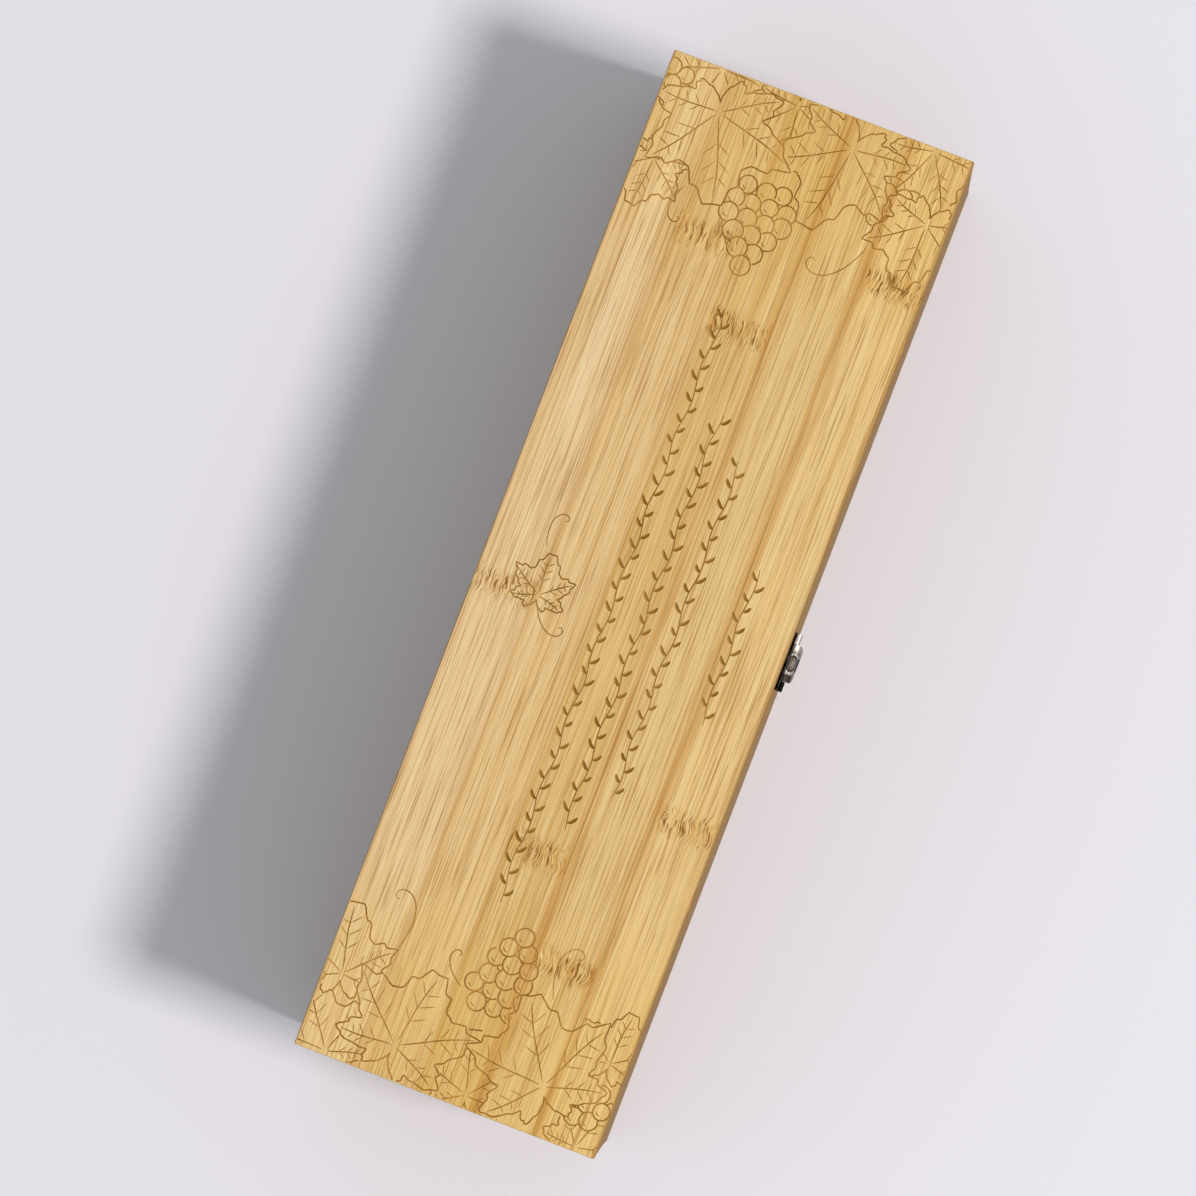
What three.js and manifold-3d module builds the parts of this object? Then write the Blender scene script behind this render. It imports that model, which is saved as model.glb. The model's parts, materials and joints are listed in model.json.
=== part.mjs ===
// A box for one bottle of wine, made of laminated bamboo board: a deep base and a shallow lid,
// finger-jointed at the corners, hinged along the back and held shut by a small metal latch.
//
// The frame: X runs along the box, the front with the latch faces -Y, Z is up, and the origin is
// the centre of the underside. Sizes are millimetres. Turning the lid group by a negative angle
// about its own X axis opens the lid, and the latch group inside it swings the same way.

import * as THREE from "three";
import { mergeVertices } from "three/addons/utils/BufferGeometryUtils.js";
import Module from "manifold-3d";

// Carcass
const boxLength = 355;
const boxWidth = 107;
const boxHeight = 100;
const lidHeight = 22;
const wallThickness = 8;
const panelThickness = 6;
const cornerRadius = 1.6;
const easedEdge = 1.2;
const glueLine = 0.1;
const rimGap = 0.3;
const baseFingerCount = 9;
const lidFingerCount = 2;

// The bottle and the two rests that carry it
const bottleRadius = 38;
const neckRadius = 14.5;
const bottleClearance = 1.5;
const restThickness = 10;
const restWeb = 4.4;
const housingDepth = 1.5;
const bodyRestHeight = 24;
const bodyRestPlace = -70;
const neckRestPlace = 112;

// Hinges, let into the rims of the base and the lid
const hingePlace = 110;
const hingeLength = 25;
const hingeOutset = 0.2;
const leafReach = 7.4;
const leafThickness = 0.8;
const barrelRadius = 1.3;
const hingePinRadius = 0.6;
const hingeKnuckleCount = 5;
const hingeScrewSpacing = 15;

// Latch
const latchWidth = 20.5;
const latchPlateHeight = 11;
const latchPinRise = 2.4;
const latchPinOutset = 1.3;
const latchPinRadius = 0.55;
const latchKnuckleRadius = 1.2;
const latchScrewSpacing = 13;
const latchScrewRise = 7.2;

// The latch's tongue, with the oval dish in its shoulder and the lip at its foot
const tongueWidth = 13;
const tongueFace = 2.6;
const tongueThickness = 0.8;
const tongueNeck = 3.2;
const tongueDrop = 12.6;
const lipReach = 0.4;
const lipRise = 2.2;
const footCornerRadius = 3;
const shoulderCornerRadius = 1.3;
const shoulderShares = [0.17, 0.58];
const dishLength = 5.4;
const dishWidth = 2.6;
const dishDepth = 0.5;
const dishOutset = 1.3;
const dishDrop = 0.3;
const dishLeanDegrees = 26;
const bossLength = 2.4;
const bossWidth = 1.1;
const bossHeight = 0.25;

// The catch on the base, with the hook that the tongue closes over
const catchPlateWidth = 18;
const catchPlateHeight = 10.5;
const catchPlateDrop = 3.6;
const catchScrewSpacing = 12.4;
const hookWidth = 4.6;
const hookDistance = 8.2;
const hookThickness = 1.6;
const hookReach = 3;

// What the latch's and the catch's plates share
const plateThickness = 0.8;
const plateCornerRadius = 1.5;

// Screws
const screwHeadRadius = 1.5;
const screwHeadDepth = 0.7;
const screwShankRadius = 0.75;
const screwTipLength = 1.6;
const hingeScrewLength = 8;
const latchScrewLength = 6;

// Clearances
const pinClearance = 0.05;
const screwClearance = 0.12;
const runningGap = 0.15;
const movingGap = 0.3;

// How finely round shapes are drawn, and how far a cutter runs past what it cuts
const cornerSegments = 4;
const arcSegments = 16;
const roundSides = 16;
const ringSides = 80;
const screwSides = 10;
const dishSides = 20;
const overrun = 2;
const mergeTolerance = 0.0001;

const quarterTurn = Math.PI / 2;
const half = (size) => size / 2;

// Places that follow from the sizes
const rimHeight = boxHeight - lidHeight;
const innerHalfLength = half(boxLength) - wallThickness;
const innerHalfWidth = half(boxWidth) - wallThickness;
const hingeAxis = { y: half(boxWidth) + hingeOutset, z: rimHeight };
const latchAxis = { y: -half(boxWidth) - latchPinOutset, z: rimHeight + latchPinRise };
const baseWallZ = [panelThickness + glueLine, rimHeight - half(rimGap)];
const bottleAxisHeight = baseWallZ[0] + restWeb + bottleRadius + bottleClearance;
const lidWallZ = [rimHeight + half(rimGap), boxHeight - panelThickness - glueLine];

// Ranges are pairs of a low and a high end.
const span = ([low, high]) => high - low;
const middle = ([low, high]) => half(low + high);
const about = (centre, size) => [centre - half(size), centre + half(size)];
const moved = ([low, high], by) => [low + by, high + by];
const onSide = ([low, high], side) => (side > 0 ? [low, high] : [-high, -low]);

// Solids

const wasm = await Module();
wasm.setup();

// Turns a closed three.js geometry into a solid that can be joined and cut.
function toSolid(geometry) {
  const bare = geometry.clone();
  bare.deleteAttribute("normal");
  bare.deleteAttribute("uv");
  const merged = mergeVertices(bare, mergeTolerance);
  return new wasm.Manifold(
    new wasm.Mesh({
      numProp: 3,
      vertProperties: merged.attributes.position.array,
      triVerts: Uint32Array.from(merged.index.array),
    }),
  );
}

const join = (solids) => solids.reduce((joined, solid) => joined.add(solid));
const cut = (solid, cutters) => cutters.reduce((left, cutter) => left.subtract(cutter), solid);

// A square-edged block over three ranges.
function block(x, y, z) {
  const geometry = new THREE.BoxGeometry(span(x), span(y), span(z));
  return toSolid(geometry.translate(middle(x), middle(y), middle(z)));
}

// A round rod that lies along X.
function rod(radius, x, y = 0, z = 0, sides = roundSides) {
  const geometry = new THREE.CylinderGeometry(radius, radius, span(x), sides);
  return toSolid(geometry.rotateZ(quarterTurn).translate(middle(x), y, z));
}

// A flat outline raised into a prism over a range of Z.
function prism(shape, z, options = {}) {
  const settings = { depth: span(z), bevelEnabled: false, curveSegments: cornerSegments, ...options };
  return new THREE.ExtrudeGeometry(shape, settings).translate(0, 0, z[0]);
}

// A prism along X, of an outline drawn in Y and Z.
function prismAlongX(shape, x) {
  const upright = new THREE.Matrix4().makeBasis(
    new THREE.Vector3(0, 1, 0),
    new THREE.Vector3(0, 0, 1),
    new THREE.Vector3(1, 0, 0),
  );
  return toSolid(prism(shape, x, { curveSegments: arcSegments }).applyMatrix4(upright));
}

// A prism along Y, of an outline drawn in X and Z about a centre height.
function prismAlongY(shape, y, centreZ) {
  return toSolid(prism(shape, onSide(y, -1)).rotateX(quarterTurn).translate(0, 0, centreZ));
}

// A rectangle with round corners, centred on the origin.
function roundedRectangle(width, height, radius) {
  const right = half(width) - radius;
  const top = half(height) - radius;
  const shape = new THREE.Shape();
  shape.absarc(right, top, radius, 0, quarterTurn);
  shape.absarc(-right, top, radius, quarterTurn, 2 * quarterTurn);
  shape.absarc(-right, -top, radius, 2 * quarterTurn, 3 * quarterTurn);
  shape.absarc(right, -top, radius, 3 * quarterTurn, 4 * quarterTurn);
  return shape;
}

// Meshes

const finishes = {
  bamboo: { color: 0xd9b679, roughness: 0.55, metalness: 0 },
  antiqueNickel: { color: 0x4b4742, roughness: 0.38, metalness: 0.9 },
  steel: { color: 0x6d6a66, roughness: 0.35, metalness: 0.95 },
};

// A named mesh with a finish of its own, which stays in the frame that its solid was made in
// unless it gets a place.
function piece(name, solid, finish, place = { x: 0, y: 0, z: 0 }) {
  const made = solid.getMesh();
  const geometry = new THREE.BufferGeometry();
  geometry.setAttribute("position", new THREE.BufferAttribute(made.vertProperties, 3));
  geometry.setIndex(new THREE.BufferAttribute(made.triVerts, 1));
  geometry.computeVertexNormals();
  const mesh = new THREE.Mesh(
    geometry,
    new THREE.MeshStandardMaterial({ ...finishes[finish], flatShading: true }),
  );
  mesh.name = name;
  mesh.position.set(place.x, place.y, place.z);
  return mesh;
}

// Screws

// The turns about X that point a screw down, up or to the back.
const screwTurns = { down: 0, up: 2 * quarterTurn, back: quarterTurn };

// A countersunk wood screw that points down, with the top of its head at the origin. With a
// clearance it is the cutter for its own hole, open above the head.
function screwGeometry(length, clearance = 0) {
  const headRadius = screwHeadRadius + clearance;
  const shankRadius = screwShankRadius + clearance;
  const profile = [
    new THREE.Vector2(0, -length - clearance),
    new THREE.Vector2(shankRadius, screwTipLength - length - clearance),
    new THREE.Vector2(shankRadius, -screwHeadDepth - clearance),
    new THREE.Vector2(headRadius, -clearance),
  ];
  if (clearance > 0) {
    profile.push(new THREE.Vector2(headRadius, overrun), new THREE.Vector2(0, overrun));
  } else {
    profile.push(new THREE.Vector2(0, 0));
  }
  return new THREE.LatheGeometry(profile, screwSides).rotateX(quarterTurn);
}

function screwHole(length, place, turn) {
  const geometry = screwGeometry(length, screwClearance).rotateX(screwTurns[turn]);
  return toSolid(geometry.translate(place.x, place.y, place.z));
}

function screw(name, length, place, turn) {
  const mesh = piece(name, toSolid(screwGeometry(length)), "steel", place);
  mesh.rotation.x = screwTurns[turn];
  return mesh;
}

// The same places in a frame whose origin lies elsewhere on the Y and Z axes.
function inFrameOf(axis, places) {
  return places.map(({ x, y, z }) => ({ x, y: y + axis.y, z: z + axis.z }));
}

// Boards

// The outline of the whole box over a range of height, to which every board is sanded.
function boxOutline(z) {
  return toSolid(prism(roundedRectangle(boxLength, boxWidth, cornerRadius), z));
}

// A panel over the full outline, with sanded edges round its outer face: the top one where side
// is 1, the bottom one where it is -1.
function panel(z, side) {
  const shape = roundedRectangle(boxLength, boxWidth, cornerRadius);
  const inner = side > 0 ? z[0] - overrun : z[1] + overrun;
  const outer = side > 0 ? z[1] - easedEdge : z[0] + easedEdge;
  const eased = prism(shape, [Math.min(inner, outer), Math.max(inner, outer)], {
    bevelEnabled: true,
    bevelThickness: easedEdge,
    bevelSize: easedEdge,
    bevelOffset: -easedEdge,
    bevelSegments: cornerSegments,
  });
  const kept = block(about(0, boxLength + overrun), about(0, boxWidth + overrun), z);
  return toSolid(eased).intersect(kept);
}

// Every second finger of a corner from the given one up, as ranges of height, each grown by half
// a glue line so that it is the notch in the board across the corner.
function fingerNotches(z, count, first) {
  const height = span(z) / count;
  const ranges = [];
  for (let i = first; i < count; i += 2) {
    const low = z[0] + i * height;
    ranges.push([low - half(glueLine), low + height + half(glueLine)]);
  }
  return ranges;
}

// A front (-1) or back (1) board, notched at both ends for the fingers of the end boards.
function longBoard(side, z, notches) {
  const y = onSide([innerHalfWidth, half(boxWidth)], side);
  const notchX = [innerHalfLength - glueLine, half(boxLength) + overrun];
  const notchY = about(middle(y), wallThickness + overrun);
  const board = block(about(0, boxLength), y, z).intersect(boxOutline(z));
  return cut(board, notches.flatMap((notchZ) => [
    block(notchX, notchY, notchZ),
    block(onSide(notchX, -1), notchY, notchZ),
  ]));
}

// A left (-1) or right (1) end board, notched at both ends for the fingers of the long boards.
function endBoard(side, z, notches) {
  const x = onSide([innerHalfLength, half(boxLength)], side);
  const notchX = about(middle(x), wallThickness + overrun);
  const notchY = [innerHalfWidth - glueLine, half(boxWidth) + overrun];
  const board = block(x, about(0, boxWidth), z).intersect(boxOutline(z));
  return cut(board, notches.flatMap((notchZ) => [
    block(notchX, notchY, notchZ),
    block(notchX, onSide(notchY, -1), notchZ),
  ]));
}

// The bottle's rests

const bodyRest = {
  x: bodyRestPlace,
  top: baseWallZ[0] + bodyRestHeight,
  notchRadius: bottleRadius + bottleClearance,
};
const neckRest = {
  x: neckRestPlace,
  top: bottleAxisHeight,
  notchRadius: neckRadius + bottleClearance,
};

// A cross board with a round notch about the bottle's axis.
function restSolid(rest) {
  const halfWidth = innerHalfWidth + housingDepth - glueLine;
  const notchReach = Math.acos((bottleAxisHeight - rest.top) / rest.notchRadius);
  const shape = new THREE.Shape();
  shape.moveTo(-halfWidth, baseWallZ[0]);
  shape.lineTo(halfWidth, baseWallZ[0]);
  shape.lineTo(halfWidth, rest.top);
  const start = notchReach - quarterTurn;
  const end = -notchReach - quarterTurn;
  shape.absarc(0, bottleAxisHeight, rest.notchRadius, start, end, true);
  shape.lineTo(-halfWidth, rest.top);
  return prismAlongX(shape, about(rest.x, restThickness));
}

// The housings that the rests slide into, in the inside of a front (-1) or back (1) wall.
function restHousings(side) {
  const y = onSide([innerHalfWidth - overrun, innerHalfWidth + housingDepth], side);
  return [bodyRest, neckRest].map((rest) => {
    const x = about(rest.x, restThickness + 2 * glueLine);
    return block(x, y, [baseWallZ[0] - overrun, rest.top + glueLine]);
  });
}

// Hinges

const leafFace = half(rimGap);
const barrelSpace = barrelRadius + movingGap;
const hinges = { left_hinge: -hingePlace, right_hinge: hingePlace };
const leafSides = { lower: -1, upper: 1 };

// The X ranges of one leaf's knuckles: the outer ones are the lower leaf's. Between neighbours
// there is a running gap.
function knuckleRanges(side) {
  const pitch = hingeLength / hingeKnuckleCount;
  const ranges = [];
  for (let i = side < 0 ? 0 : 1; i < hingeKnuckleCount; i += 2) {
    const centre = half(pitch - hingeLength) + i * pitch;
    ranges.push(about(centre, pitch - runningGap));
  }
  return ranges;
}

// Where a leaf's two screws stand about the hinge's axis, with their heads flush with the leaf.
function hingeScrewPlaces(x, side) {
  const y = middle([-leafReach, -barrelSpace]);
  return [-1, 1].map((end) => ({ x: x + end * half(hingeScrewSpacing), y, z: side * leafFace }));
}

const hingeScrewTurn = (side) => (side < 0 ? "down" : "up");

// The lower (-1) or upper (1) leaf of a hinge, about the hinge's axis.
function hingeLeaf(side) {
  const z = onSide([leafFace, leafFace + leafThickness], side);
  const plate = block(about(0, hingeLength), [-leafReach, -barrelSpace], z);
  const knuckles = knuckleRanges(side).flatMap((x) => [
    block(x, [-barrelSpace - half(leafThickness), 0], z),
    rod(barrelRadius, x),
  ]);
  const bore = rod(hingePinRadius + pinClearance, about(0, hingeLength + overrun));
  const holes = hingeScrewPlaces(0, side).map((place) =>
    screwHole(hingeScrewLength, place, hingeScrewTurn(side)),
  );
  return cut(join([plate, ...knuckles]), [bore, ...holes]);
}

// What both hinges take out of the back wall or rail: the beds of the leaves, the hollows for
// the barrels and the holes for the screws.
function hingeCuts(side) {
  const bed = onSide([leafFace - overrun, leafFace + leafThickness + glueLine], side);
  return Object.values(hinges).flatMap((x) => {
    const bedX = about(x, hingeLength + 2 * runningGap);
    const bedY = moved([-leafReach - runningGap, overrun], hingeAxis.y);
    const places = inFrameOf(hingeAxis, hingeScrewPlaces(x, side));
    return [
      block(bedX, bedY, moved(bed, hingeAxis.z)),
      rod(barrelSpace, bedX, hingeAxis.y, hingeAxis.z),
      ...places.map((place) => screwHole(hingeScrewLength, place, hingeScrewTurn(side))),
    ];
  });
}

// One leaf of every hinge, with its screws.
function addLeaves(group, level) {
  const side = leafSides[level];
  for (const [hinge, x] of Object.entries(hinges)) {
    const place = { x, ...hingeAxis };
    group.add(piece(`${hinge}_${level}_leaf`, hingeLeaf(side), "antiqueNickel", place));
    inFrameOf(hingeAxis, hingeScrewPlaces(x, side)).forEach((screwPlace, i) => {
      const name = `${hinge}_${level}_screw_${i + 1}`;
      group.add(screw(name, hingeScrewLength, screwPlace, hingeScrewTurn(side)));
    });
  }
}

// Latch and catch. Their solids are made about the latch's pin, and outwards is -Y.

const woodFace = latchPinOutset;
const plateY = [woodFace - glueLine - plateThickness, woodFace - glueLine];
const catchPlateZ = -catchPlateDrop - half(catchPlateHeight);

// Two screw places side by side, with their heads flush with the plate.
function plateScrewPlaces(spacing, z) {
  return [-1, 1].map((end) => ({ x: end * half(spacing), y: plateY[0], z }));
}

const latchScrewPlaces = plateScrewPlaces(latchScrewSpacing, latchScrewRise);
const catchScrewPlaces = plateScrewPlaces(catchScrewSpacing, catchPlateZ);
const backHoles = (places) => places.map((place) => screwHole(latchScrewLength, place, "back"));

// The pin's bore, through all the knuckles.
function latchBore() {
  return rod(latchPinRadius + pinClearance, about(0, latchWidth + overrun));
}

// A plate on the wood face, with round corners.
function plate(width, height, centreZ) {
  return prismAlongY(roundedRectangle(width, height, plateCornerRadius), plateY, centreZ);
}

// The lid's plate: a knuckle at each end of its lower edge, and a window between them in which
// the tongue's knuckle and shoulder turn.
function latchPlate() {
  const windowHalf = half(tongueWidth) + runningGap;
  const ear = [windowHalf, half(latchWidth)];
  const window = block(
    about(0, 2 * windowHalf),
    [plateY[0] - overrun, plateY[1] + overrun],
    [-latchKnuckleRadius - overrun, tongueFace + movingGap],
  );
  const whole = cut(plate(latchWidth, latchPlateHeight, half(latchPlateHeight)), [window]);
  const ears = [ear, onSide(ear, -1)].map((x) => rod(latchKnuckleRadius, x));
  return cut(join([whole, ...ears]), [latchBore(), ...backHoles(latchScrewPlaces)]);
}

// A part of a ring about the pin, on its outer lower side: the hook, or the slot that clears it.
function hookRing(width, thickness, y) {
  const x = about(0, width);
  const outer = hookDistance + half(thickness);
  const inner = hookDistance - half(thickness);
  const ring = rod(outer, x, 0, 0, ringSides).subtract(
    rod(inner, about(0, width + overrun), 0, 0, ringSides),
  );
  return ring.intersect(block(x, y, [-outer - overrun, -overrun]));
}

// The base's plate, with the hook that curves round the latch's pin.
function catchPlate() {
  const hook = hookRing(hookWidth, hookThickness, [-hookReach, middle(plateY)]);
  const whole = join([plate(catchPlateWidth, catchPlateHeight, catchPlateZ), hook]);
  return cut(whole, backHoles(catchScrewPlaces));
}

// The side of the tongue: a knuckle, a rounded shoulder, a straight face and a foot that turns
// outwards into a lip.
function tongueSide() {
  const face = -tongueFace;
  const back = tongueThickness - tongueFace;
  const footTop = lipRise - tongueDrop;
  const [riseShare, reachShare] = shoulderShares;
  const shape = new THREE.Shape();
  shape.absarc(0, 0, latchKnuckleRadius, quarterTurn, -1.5 * quarterTurn, true);
  shape.quadraticCurveTo(back, -latchKnuckleRadius, back, -tongueNeck);
  shape.lineTo(back, footTop);
  shape.quadraticCurveTo(back, half(tongueThickness) - tongueDrop, face, -tongueDrop);
  shape.lineTo(face - lipReach, half(tongueThickness) - tongueDrop);
  shape.quadraticCurveTo(face, half(lipRise) - tongueDrop, face, footTop);
  shape.lineTo(face, -latchKnuckleRadius);
  shape.bezierCurveTo(
    face,
    riseShare * latchKnuckleRadius,
    reachShare * face,
    latchKnuckleRadius,
    0,
    latchKnuckleRadius,
  );
  return shape;
}

// An ellipsoid about a point on the Z axis.
function ellipsoid(length, width, height, z) {
  const geometry = new THREE.SphereGeometry(1, dishSides, dishSides);
  return toSolid(geometry.scale(half(length), half(width), height).translate(0, 0, z));
}

// The oval dish in the outer slope of the tongue's shoulder, with a low boss in its middle.
function dish() {
  const boss = ellipsoid(bossLength, bossWidth, bossHeight, -dishDepth);
  const bowl = cut(ellipsoid(dishLength, dishWidth, dishDepth, 0), [boss]);
  return bowl.rotate([dishLeanDegrees, 0, 0]).translate([0, -dishOutset, latchKnuckleRadius - dishDrop]);
}

function latchTongue() {
  const depth = 2 * (tongueFace + lipReach);
  const fromFront = roundedRectangle(tongueWidth, 2 * tongueDrop, footCornerRadius);
  const fromAbove = roundedRectangle(tongueWidth, depth, shoulderCornerRadius);
  const body = prismAlongX(tongueSide(), about(0, tongueWidth))
    .intersect(prismAlongY(fromFront, about(0, depth), 0))
    .intersect(toSolid(prism(fromAbove, about(0, 2 * tongueDrop))));
  const slot = hookRing(
    hookWidth + 2 * movingGap,
    hookThickness + 2 * movingGap,
    [-tongueFace - lipReach - overrun, 0],
  );
  return cut(body, [latchBore(), slot, dish()]);
}

// The base

const base = new THREE.Group();
const baseLongNotches = fingerNotches(baseWallZ, baseFingerCount, 1);
const baseEndNotches = fingerNotches(baseWallZ, baseFingerCount, 0);
const catchHoles = inFrameOf(latchAxis, catchScrewPlaces);

base.add(
  piece("bottom_panel", panel([0, panelThickness], -1), "bamboo"),
  piece(
    "base_front_wall",
    cut(longBoard(-1, baseWallZ, baseLongNotches), [...restHousings(-1), ...backHoles(catchHoles)]),
    "bamboo",
  ),
  piece(
    "base_back_wall",
    cut(longBoard(1, baseWallZ, baseLongNotches), [...restHousings(1), ...hingeCuts(-1)]),
    "bamboo",
  ),
  piece("base_left_end", endBoard(-1, baseWallZ, baseEndNotches), "bamboo"),
  piece("base_right_end", endBoard(1, baseWallZ, baseEndNotches), "bamboo"),
  piece("body_rest", restSolid(bodyRest), "bamboo"),
  piece("neck_rest", restSolid(neckRest), "bamboo"),
);

addLeaves(base, "lower");
for (const [hinge, x] of Object.entries(hinges)) {
  const pin = rod(hingePinRadius, about(0, hingeLength));
  base.add(piece(`${hinge}_pin`, pin, "steel", { x, ...hingeAxis }));
}

const catchGroup = new THREE.Group();
catchGroup.position.set(0, latchAxis.y, latchAxis.z);
catchGroup.add(piece("catch_plate", catchPlate(), "antiqueNickel"));
catchScrewPlaces.forEach((place, i) => {
  catchGroup.add(screw(`catch_screw_${i + 1}`, latchScrewLength, place, "back"));
});
base.add(catchGroup);

// The lid, whose group turns about the hinges' axis. Its boards and hinge leaves are made in the
// box's frame, and the inner group brings that frame back.

const lid = new THREE.Group();
lid.position.set(0, hingeAxis.y, hingeAxis.z);
const lidFrame = new THREE.Group();
lidFrame.position.set(0, -hingeAxis.y, -hingeAxis.z);
lid.add(lidFrame);

const lidLongNotches = fingerNotches(lidWallZ, lidFingerCount, 0);
const lidEndNotches = fingerNotches(lidWallZ, lidFingerCount, 1);
const latchHoles = inFrameOf(latchAxis, latchScrewPlaces);

lidFrame.add(
  piece("lid_top_panel", panel([boxHeight - panelThickness, boxHeight], 1), "bamboo"),
  piece(
    "lid_front_rail",
    cut(longBoard(-1, lidWallZ, lidLongNotches), backHoles(latchHoles)),
    "bamboo",
  ),
  piece("lid_back_rail", cut(longBoard(1, lidWallZ, lidLongNotches), hingeCuts(1)), "bamboo"),
  piece("lid_left_rail", endBoard(-1, lidWallZ, lidEndNotches), "bamboo"),
  piece("lid_right_rail", endBoard(1, lidWallZ, lidEndNotches), "bamboo"),
);
addLeaves(lidFrame, "upper");

// The latch's plate and pin stay on the lid, and the tongue's own group turns about the pin.

const latchSeat = new THREE.Group();
latchSeat.position.set(0, latchAxis.y, latchAxis.z);
latchSeat.add(
  piece("latch_plate", latchPlate(), "antiqueNickel"),
  piece("latch_pin", rod(latchPinRadius, about(0, latchWidth)), "steel"),
);
latchScrewPlaces.forEach((place, i) => {
  latchSeat.add(screw(`latch_screw_${i + 1}`, latchScrewLength, place, "back"));
});

const latch = new THREE.Group();
latch.add(piece("latch_tongue", latchTongue(), "antiqueNickel"));
latchSeat.add(latch);
lidFrame.add(latchSeat);

const wineBox = new THREE.Group();
wineBox.name = "wine_box";
wineBox.add(base, lid);

export default wineBox;
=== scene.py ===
# %% [markdown]
# # A bamboo box for one bottle of wine
# The real box is made of laminated bamboo board. It has a deep base and a shallow lid, which were
# glued up as one closed box and then sawn apart. Two small hinges join them at the back and a small
# latch of antique nickel holds them shut at the front. The lid is engraved with vine leaves, grapes
# and small twigs.
#
# The solids of all its pieces are loaded first, as a fixed frame. This lesson then dresses them:
# it gives the boards their fine edges, the bamboo its fibres and the metal its worn plating, cuts
# the engraving, and sets up the light and the camera. X runs along the box, the front with the
# latch faces -Y, Z is up, and Blender works in metres.

# %% Load the solids
import json
import math
import random

import bmesh
import bpy
import numpy as np
from mathutils import Matrix, Vector


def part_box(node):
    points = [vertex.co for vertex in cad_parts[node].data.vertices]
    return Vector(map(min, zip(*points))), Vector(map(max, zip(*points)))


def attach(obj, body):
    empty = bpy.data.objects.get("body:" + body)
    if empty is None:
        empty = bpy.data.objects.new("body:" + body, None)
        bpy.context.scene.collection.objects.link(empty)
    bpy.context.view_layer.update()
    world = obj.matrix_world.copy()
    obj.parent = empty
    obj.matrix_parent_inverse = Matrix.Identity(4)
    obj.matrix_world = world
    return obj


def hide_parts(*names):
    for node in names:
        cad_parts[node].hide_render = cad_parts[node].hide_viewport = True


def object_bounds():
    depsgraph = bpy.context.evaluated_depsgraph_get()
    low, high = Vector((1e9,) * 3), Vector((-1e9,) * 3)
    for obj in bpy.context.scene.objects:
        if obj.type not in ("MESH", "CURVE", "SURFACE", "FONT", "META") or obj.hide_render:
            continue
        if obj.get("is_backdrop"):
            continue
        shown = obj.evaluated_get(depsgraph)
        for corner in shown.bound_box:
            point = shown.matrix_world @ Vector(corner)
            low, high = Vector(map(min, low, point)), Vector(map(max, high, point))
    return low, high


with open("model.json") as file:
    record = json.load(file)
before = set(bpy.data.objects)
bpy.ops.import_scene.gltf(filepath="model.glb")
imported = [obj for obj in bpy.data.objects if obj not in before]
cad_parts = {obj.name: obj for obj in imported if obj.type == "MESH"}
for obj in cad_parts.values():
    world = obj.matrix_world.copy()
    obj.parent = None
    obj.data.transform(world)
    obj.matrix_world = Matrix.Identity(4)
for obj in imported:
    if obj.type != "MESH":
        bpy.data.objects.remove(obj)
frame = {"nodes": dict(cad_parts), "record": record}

low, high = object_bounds()
print("solids:", len(frame["nodes"]))
print("box in mm:", [round(1000 * (b - a), 1) for a, b in zip(low, high)])

# %% [markdown]
# ## Small helpers
# Sizes are easier to think about in millimetres, so one function turns them to metres. Colours are
# written as the hex values that a picture editor shows, which are sRGB, while Blender's sockets
# want linear light. Shader nodes are added by one function that takes the node's kind, its inputs
# and its settings and gives back the output that goes on, so a material reads from top to bottom.
# An input is given by its number or its name. The other helpers make a new material or object, turn
# a bmesh into a mesh, and cut one object out of another.

# %% Millimetres, colours, nodes and objects
scene = bpy.context.scene


def mm(size):
    return size / 1000


def linear(hex_colour):
    shares = [int(hex_colour[i:i + 2], 16) / 255 for i in (1, 3, 5)]
    return [s / 12.92 if s <= 0.04045 else ((s + 0.055) / 1.055) ** 2.4 for s in shares] + [1.0]


def add(tree, kind, inputs={}, out=0, **settings):
    node = tree.nodes.new("ShaderNode" + kind)
    for name, value in settings.items():
        setattr(node, name, value)
    for key, value in inputs.items():
        if isinstance(value, bpy.types.NodeSocket):
            tree.links.new(value, node.inputs[key])
        else:
            node.inputs[key].default_value = value
    return node.outputs[out]


def new_material(name):
    """Gives back a new material, its node tree and its surface shader."""
    material = bpy.data.materials.new(name)
    material.use_nodes = True
    return material, material.node_tree, material.node_tree.nodes["Principled BSDF"]


def new_object(name, data):
    piece = bpy.data.objects.new(name, data)
    scene.collection.objects.link(piece)
    return piece


def to_mesh(bm, name):
    mesh = bpy.data.meshes.new(name)
    bm.to_mesh(mesh)
    bm.free()
    return mesh


def final_mesh(piece):
    """The mesh that an object shows, with a curve's thickness or the cuts worked out."""
    graph = bpy.context.evaluated_depsgraph_get()
    return bpy.data.meshes.new_from_object(piece.evaluated_get(graph))


def cut_out(piece, cutter):
    cut = piece.modifiers.new("cut", "BOOLEAN")
    cut.operation = "DIFFERENCE"
    cut.solver = "MANIFOLD"
    cut.object = cutter


print("bamboo's colour in linear light:", [round(c, 3) for c in linear("#DCBA80")])

# %% [markdown]
# ## The camera
# The box was photographed from about two metres above with a long lens, nearly straight down, and
# lies turned in the picture. A camera is easiest to set as a place, a point to look at and the
# direction on the table that points up in the picture. The picture is square, so the lens follows
# from the sensor's width alone.

# %% Set the camera
place = Vector((mm(-34.1), mm(-89.9), mm(2094.7)))
aim = Vector((mm(-2.84), mm(11.91), mm(100)))
picture_up = math.radians(20.95)

forward = (aim - place).normalized()
right = forward.cross(Vector((math.cos(picture_up), math.sin(picture_up), 0))).normalized()
turn = Matrix((right, right.cross(forward), -forward)).transposed()

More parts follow.
